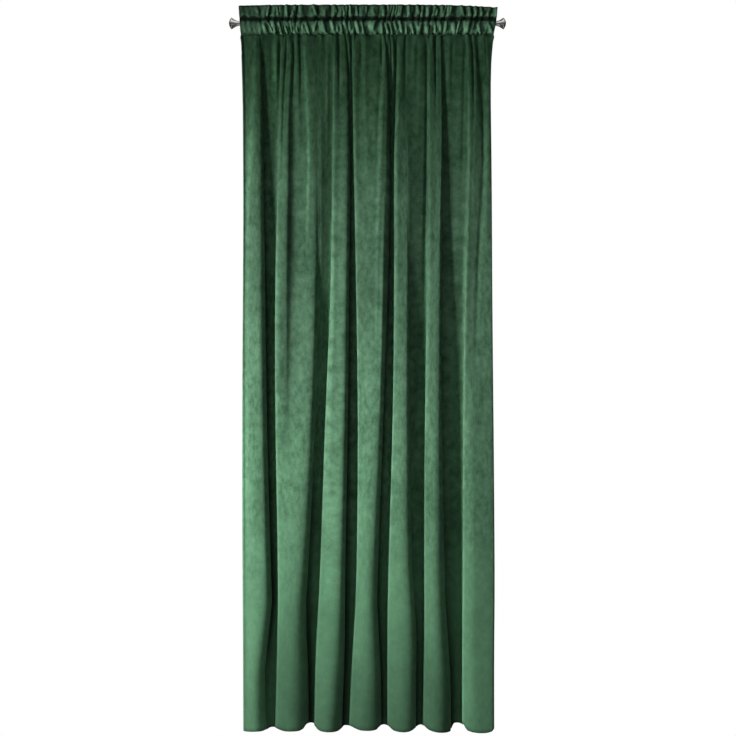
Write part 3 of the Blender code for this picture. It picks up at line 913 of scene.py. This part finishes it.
# The velvet; places are in metres on the flat cloth: across it from the left and along it
# from the hem, or from the stitch line that is named; each pair is where a shade starts
# and where it is whole
velvetLook = {
    "deep": (0.036, 0.088, 0.048, 1),
    "light": (0.105, 0.215, 0.130, 1),
    "lowLight": (0.094, 0.215, 0.120, 1),  # the pile's light colour near the hem
    "lowRange": (1.5, 0.3),
    "topLight": (0.092, 0.215, 0.115, 1),  # its colours right under the pocket
    "topDeep": (0.028, 0.088, 0.039, 1),
    "thread": (0.060, 0.150, 0.085, 1),
    "stitchLength": 0.0032,
    "stitchDash": (-0.3, 0.1),  # height of the sine wave where a dash starts
    "stitchWidth": (0.0008, 0.0004),
    "roughness": 0.92,
    "specular": 0.05,
    "sheen": 0.12,
    "sheenRoughness": 0.42,
    "sheenTint": (0.70, 0.95, 0.76, 1),
    "hemShade": 0.38,  # darker toward the hem, but not at the sides
    "hemRange": (0.55, 0.0),
    "hemLeft": (0.20, 0.30),
    "hemRight": (1.24, 1.14),
    "edgeShade": 0.4,  # along the bottom edge
    "edgeRange": (0.016, 0.002),
    "topShade": 0.42,  # under the pocket
    "topRange": (-0.75, -0.02),  # from the lower seam
    "topEnd": (0.003, 0.0),
    "headingPaintedLight": 0.38,  # painted light: how much lighter the heading is
    "headingRange": (0.0, 0.006),  # from the lower seam
    # how strongly the painted light and shade from the cloth's shape show
    "paintedShadingShare": 0.6,
    "flatEndShade": 0.20,  # painted shade on the pocket's flat left end
    "flatRange": (0.112, 0.085),
    "flatTop": (0.004, 0.0),  # from the upper seam
    "ragged": 0.02,  # how far the pressed cloth's edge wanders
    "paintedShadeBands": 0.80,  # painted shade in the groove beside the upper seam
    "grooveMiddle": -0.007,  # from the upper seam
    "grooveRange": (0.020, 0.011),
    "grooveRagged": 1.6,
    "seam": 0.15,  # painted shade right beside the lower seam
    "seamRange": (0.005, 0.001),
    "scallop": 0.60,  # painted shade on the pocket's lowest cloth, drawn up between its folds
    "scallopRange": (0.017, 0.005),  # from the lower seam
    "scallopStart": (-0.002, 0.0),
    "scallopRagged": 2.4,
    "turned": 0.5,  # painted shade where the cloth turns over at the ruffle's top
    "turnedRange": (0.007, 0.001),
    "middle": 0.45,  # the nap's mean, from deep to light, and how strongly each pattern shows
    "mottled": 1.7,
    "blotched": 1.2,
    "streaked": 0.25,
    "atHem": 0.35,  # share of these three that is left at the hem
    "fullRange": (0.35, 1.1),
    "brushedAndPaintedShade": 0.8,
    "pile": 0.6,
    "bumpStrength": 0.35,
    "bumpDistance": 0.002,
    "bumpMottled": 0.6,
    "bumpPile": 0.4,
    "bumpThreads": 0.3,
}

# The pile's patterns: scale, detail, roughness and stretch of the noise
raggedPattern = (60.0, 2.0, 0.5)
brushedPattern = (9.0, 2.0, 0.5, (1.0, 0.35, 1.0))
mottledPattern = (74.0, 4.0, 0.65, (1.0, 0.45, 1.0))
pilePattern = (420.0, 2.0, 0.6)
blotchedPattern = (26.0, 3.0, 0.6, (0.9, 0.5, 1.0))
streakedPattern = (110.0, 2.0, 0.5, (0.45, 1.0, 1.0))


def velvetMaterial(places):
    # painted shade toward the hem's middle and under the pocket, painted light on the heading,
    # and painted shade in bands along the stitches and where the cloth turns over
    seamBelow, seamAbove, topEdge = places
    look = velvetLook
    tree = Tree("green_velvet")
    flat = tree.add("ShaderNodeUVMap", {"uv_map": "Flat"})
    across = tree.add("ShaderNodeSeparateXYZ", {}, {0: flat}, 0)
    along = tree.add("ShaderNodeSeparateXYZ", {}, {0: flat}, 1)

    def shaded(value, name, line=0.0):
        start, end = look[name]
        return tree.smooth(value, line + start, line + end)

    # painted shade toward the hem's middle and along the bottom edge
    middle = shaded(across, "hemLeft") * shaded(across, "hemRight")
    hemShade = 1 - middle * shaded(along, "hemRange") * look["hemShade"]
    hemShade = hemShade * (1 - shaded(along, "edgeRange") * look["edgeShade"])
    # painted shade under the pocket, and painted light on the heading
    underPocket = shaded(along, "topRange", seamBelow) * shaded(along, "topEnd", seamBelow)
    inHeading = shaded(along, "headingRange", seamBelow)
    # painted shade on the pocket's flat left end
    flatEndShade = shaded(across, "flatRange") * inHeading * look["flatEndShade"]
    flatEndShade = flatEndShade * shaded(along, "flatTop", seamAbove)
    # painted shade in bands with ragged edges: in the groove beside the upper seam, beside the
    # lower seam, on the pocket's lowest cloth between its folds and where the cloth turns over at
    # the top
    ragged = (tree.noise(flat, *raggedPattern) - 0.5) * look["ragged"]
    fromGroove = tree.distance(along, seamAbove + look["grooveMiddle"])
    fromGroove = fromGroove + ragged * look["grooveRagged"]
    paintedShadeBands = 1 - shaded(fromGroove, "grooveRange") * look["paintedShadeBands"]
    beside = tree.distance(along, seamBelow)
    paintedShadeBands = paintedShadeBands * (1 - shaded(beside, "seamRange") * look["seam"])
    fromSeam = along - seamBelow + ragged * look["scallopRagged"]
    scalloped = shaded(fromSeam, "scallopRange") * shaded(along, "scallopStart", seamBelow)
    turned = shaded(tree.distance(along, topEdge), "turnedRange")
    paintedShadeBands = paintedShadeBands * (1 - scalloped * look["scallop"]) * (1 - turned * look["turned"])

    # large brushed marks in the pile, the cloth's own tone
    brushedAndPaintedShade = tree.noise(flat, *brushedPattern)
    mottled = tree.noise(flat, *mottledPattern)
    pile = tree.noise(flat, *pilePattern)
    blotched = tree.noise(flat, *blotchedPattern)
    streaked = tree.noise(flat, *streakedPattern)
    rough = shaded(along, "fullRange") * (1 - look["atHem"]) + look["atHem"]
    nap = (mottled - 0.5) * look["mottled"] + (blotched - 0.5) * look["blotched"]
    nap = nap + (streaked - 0.5) * look["streaked"]
    nap = nap * rough + (brushedAndPaintedShade - 0.5) * look["brushedAndPaintedShade"] + (pile - 0.5) * look["pile"]
    nap = nap + look["middle"]
    light = tree.mix(shaded(along, "lowRange"), look["light"], look["lowLight"])
    light = tree.mix(underPocket, light, look["topLight"])
    colour = tree.mix(nap, tree.mix(underPocket, look["deep"], look["topDeep"]), light)

    def stitches(run, fromLine):
        # dashes of thread along a line, where the sine of the run's turns is above nought
        wave = tree.add(
            "ShaderNodeMath", {"operation": "SINE"}, {0: run * (2 * math.pi / look["stitchLength"])}
        )
        return shaded(wave, "stitchDash") * shaded(fromLine, "stitchWidth")

    sideHem = curtain["sideHemWidth"]
    threads = (
        stitches(across, beside) + stitches(across, tree.distance(along, seamAbove))
        + stitches(across, tree.distance(along, curtain["hemHeight"]))
        + stitches(along, tree.distance(across, sideHem))
        + stitches(along, tree.distance(across, curtain["width"] - sideHem))
    )
    colour = tree.mix(threads, colour, look["thread"])

    # the painted light and shade worked out from the cloth's shape
    paintedShading = tree.add("ShaderNodeAttribute", {"attribute_name": "paintedShading"}, {}, 2)
    # all the painted light and shade scale the base colour
    shade = hemShade * (1 - underPocket * look["topShade"]) * (inHeading * look["headingPaintedLight"] + 1)
    shade = shade * (1 - flatEndShade) * paintedShadeBands * (paintedShading * look["paintedShadingShare"] + 1)
    colour = tree.add(
        "ShaderNodeVectorMath", {"operation": "SCALE"}, {0: colour, "Scale": shade}
    )
    height = mottled * look["bumpMottled"] + pile * look["bumpPile"] + threads * look["bumpThreads"]
    bump = tree.add("ShaderNodeBump", {}, {
        "Strength": look["bumpStrength"], "Distance": look["bumpDistance"], "Height": height,
    })
    tree.set(tree.surface, {
        "Base Color": colour,
        "Roughness": look["roughness"],
        "Specular IOR Level": look["specular"],
        "Sheen Weight": look["sheen"],
        "Sheen Roughness": look["sheenRoughness"],
        "Sheen Tint": look["sheenTint"],
        "Normal": bump,
    })
    return tree.material


# The rod's and the finials' metal, turned round the rod, so its fine marks run around it
metalLook = {
    "rod_metal": {"colour": (0.60, 0.59, 0.57, 1), "roughness": 0.26},
    "finial_metal": {"colour": (0.66, 0.65, 0.63, 1), "roughness": 0.20},
}
turnedPattern = (900.0, 2.0, 0.5, (1.0, 0.04, 0.04))
turnedUneven = 0.12  # how much the roughness varies


def metalMaterial(name):
    look = metalLook[name]
    tree = Tree(name)
    place = tree.add("ShaderNodeTexCoord", output="Object")
    marks = tree.noise(place, *turnedPattern)
    tree.set(tree.surface, {
        "Base Color": look["colour"],
        "Metallic": 1.0,
        "Roughness": look["roughness"] + (marks - 0.5) * turnedUneven,
    })
    return tree.material


velvetCurtain.data.materials.append(velvetMaterial(seamPlaces))
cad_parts["curtain_rod"].material_slots[0].material = metalMaterial("rod_metal")
finialMetal = metalMaterial("finial_metal")
for piece in finials.values():
    piece.data.materials.append(finialMetal)
print("materials made")


# the studio: far soft lights, a pale floor, and a glow that only polished things reflect
studio = {
    "frameHeight": 2.738,  # what the picture takes in at the rod's distance
    "distance": 4.6,
    "sensor": 36.0,
    "middle": (0.0019, 0.0, -1.2815),
    "floorGap": 0.030,
    "floorReach": 4.0,
    "floorColour": (0.5, 0.5, 0.5, 1),
    "floorRoughness": 0.9,
    "contact": 0.03,  # how much of the floor's own shading shows near the curtain
    "contactRange": (0.8, 2.0),  # distance over which that fades out
    "white": (1, 1, 1, 1),
    "fill": 0.035,  # the light that comes from everywhere
}

# each light's power, size, place, aim and spread in degrees
lights = {
    "key": (66.0, 0.7, (-2.5, -1.45, -1.3), (0.0, 0.0, -2.0), 98.0),
    "back": (25.0, 1.5, (-0.7, 2.4, -0.8), (0.0, 0.0, -1.2), 180.0),
    "front": (18.0, 1.6, (-0.2, -4.7, -1.2), (0.0, 0.0, -1.2), 180.0),
}

# what polished things reflect: strength from above, from below and all round, each pair
# being the height or depth of the direction where it starts and where it is whole
glowLook = {
    "above": 0.9, "aboveRange": (0.05, 0.6), "below": 0.60, "belowRange": (-0.2, -0.7),
    "round": 0.10, "behind": 0.9, "behindRange": (-0.1, 0.6),
}


def aimed(thing, place, aim):
    direction = Vector(aim) - Vector(place)
    thing.location = place
    thing.rotation_euler = direction.to_track_quat("-Z", "Y").to_euler()


def areaLight(name, power, size, place, aim, spread):
    lamp = bpy.data.lights.new(name, "AREA")
    lamp.energy, lamp.size, lamp.spread = power, size, math.radians(spread)
    light = linked(name, lamp)
    light.visible_glossy = False
    aimed(light, place, aim)


def makeCamera():
    middle, distance = studio["middle"], studio["distance"]
    lens = bpy.data.cameras.new("camera")
    lens.sensor_width = studio["sensor"]
    lens.lens = studio["sensor"] * distance / studio["frameHeight"]
    camera = linked("camera", lens)
    aimed(camera, (middle[0], -distance, middle[2]), middle)
    bpy.context.scene.camera = camera


def makeFloor():
    # a white plane that lights nothing, with a little of its own shading near the curtain
    height, reach = cadBox[0][2] - studio["floorGap"], studio["floorReach"]
    floor = bpy.data.meshes.new("floor")
    corners = ((-reach, -reach), (reach, -reach), (reach, reach), (-reach, reach))
    floor.from_pydata([(x, y, height) for x, y in corners], [], [(0, 1, 2, 3)])
    linked("floor", floor)
    pale = Tree("pale_floor")
    pale.set(pale.surface, {
        "Base Color": studio["floorColour"], "Roughness": studio["floorRoughness"],
    })
    seen = pale.add("ShaderNodeLightPath")
    glow = pale.add("ShaderNodeEmission", {}, {"Color": studio["white"], "Strength": 1.0})
    place = pale.add("ShaderNodeTexCoord", output="Object")
    away = pale.add("ShaderNodeVectorMath", {"operation": "LENGTH"}, {0: place}, 1)
    nearBy, farOff = studio["contactRange"]
    near = pale.add(
        "ShaderNodeMapRange", {}, {0: away, 1: nearBy, 2: farOff, 3: studio["contact"], 4: 0.0}
    )
    both = pale.add(
        "ShaderNodeMixShader", {},
        {0: seen * (1 - near), 1: Value(pale, pale.surface.outputs[0]), 2: glow},
    )
    pale.links.new(both.socket, pale.nodes["Material Output"].inputs[0])
    floor.materials.append(pale.material)


def makeSky():
    # white where the camera sees it, the glow in reflections and the faint fill elsewhere
    world = bpy.data.worlds.new("studio")
    bpy.context.scene.world = world
    world.use_nodes = True
    sky = Tree("sky", world.node_tree)
    sky.nodes.clear()
    seen = sky.add("ShaderNodeLightPath")
    mirrored = sky.add("ShaderNodeLightPath", output="Is Glossy Ray")
    toward = sky.add("ShaderNodeTexCoord", output="Generated")
    depth = sky.add("ShaderNodeSeparateXYZ", {}, {0: toward}, 1)
    height = sky.add("ShaderNodeSeparateXYZ", {}, {0: toward}, 2)
    glow = sky.smooth(height, *glowLook["aboveRange"]) * glowLook["above"]
    glow = glow + sky.smooth(height, *glowLook["belowRange"]) * glowLook["below"]
    glow = glow + glowLook["round"]
    glow = glow * (1 - sky.smooth(depth, *glowLook["behindRange"]) * glowLook["behind"])
    strength = sky.mixed(seen, sky.mixed(mirrored, studio["fill"], glow), 1.0)
    shown = sky.add("ShaderNodeBackground", {}, {0: studio["white"], 1: strength})
    out = sky.nodes.new("ShaderNodeOutputWorld")
    sky.links.new(shown.socket, out.inputs[0])


makeCamera()
makeFloor()
for name, settings in lights.items():
    areaLight(name, *settings)
makeSky()
bpy.context.scene.view_settings.view_transform = "Standard"
print("studio made")
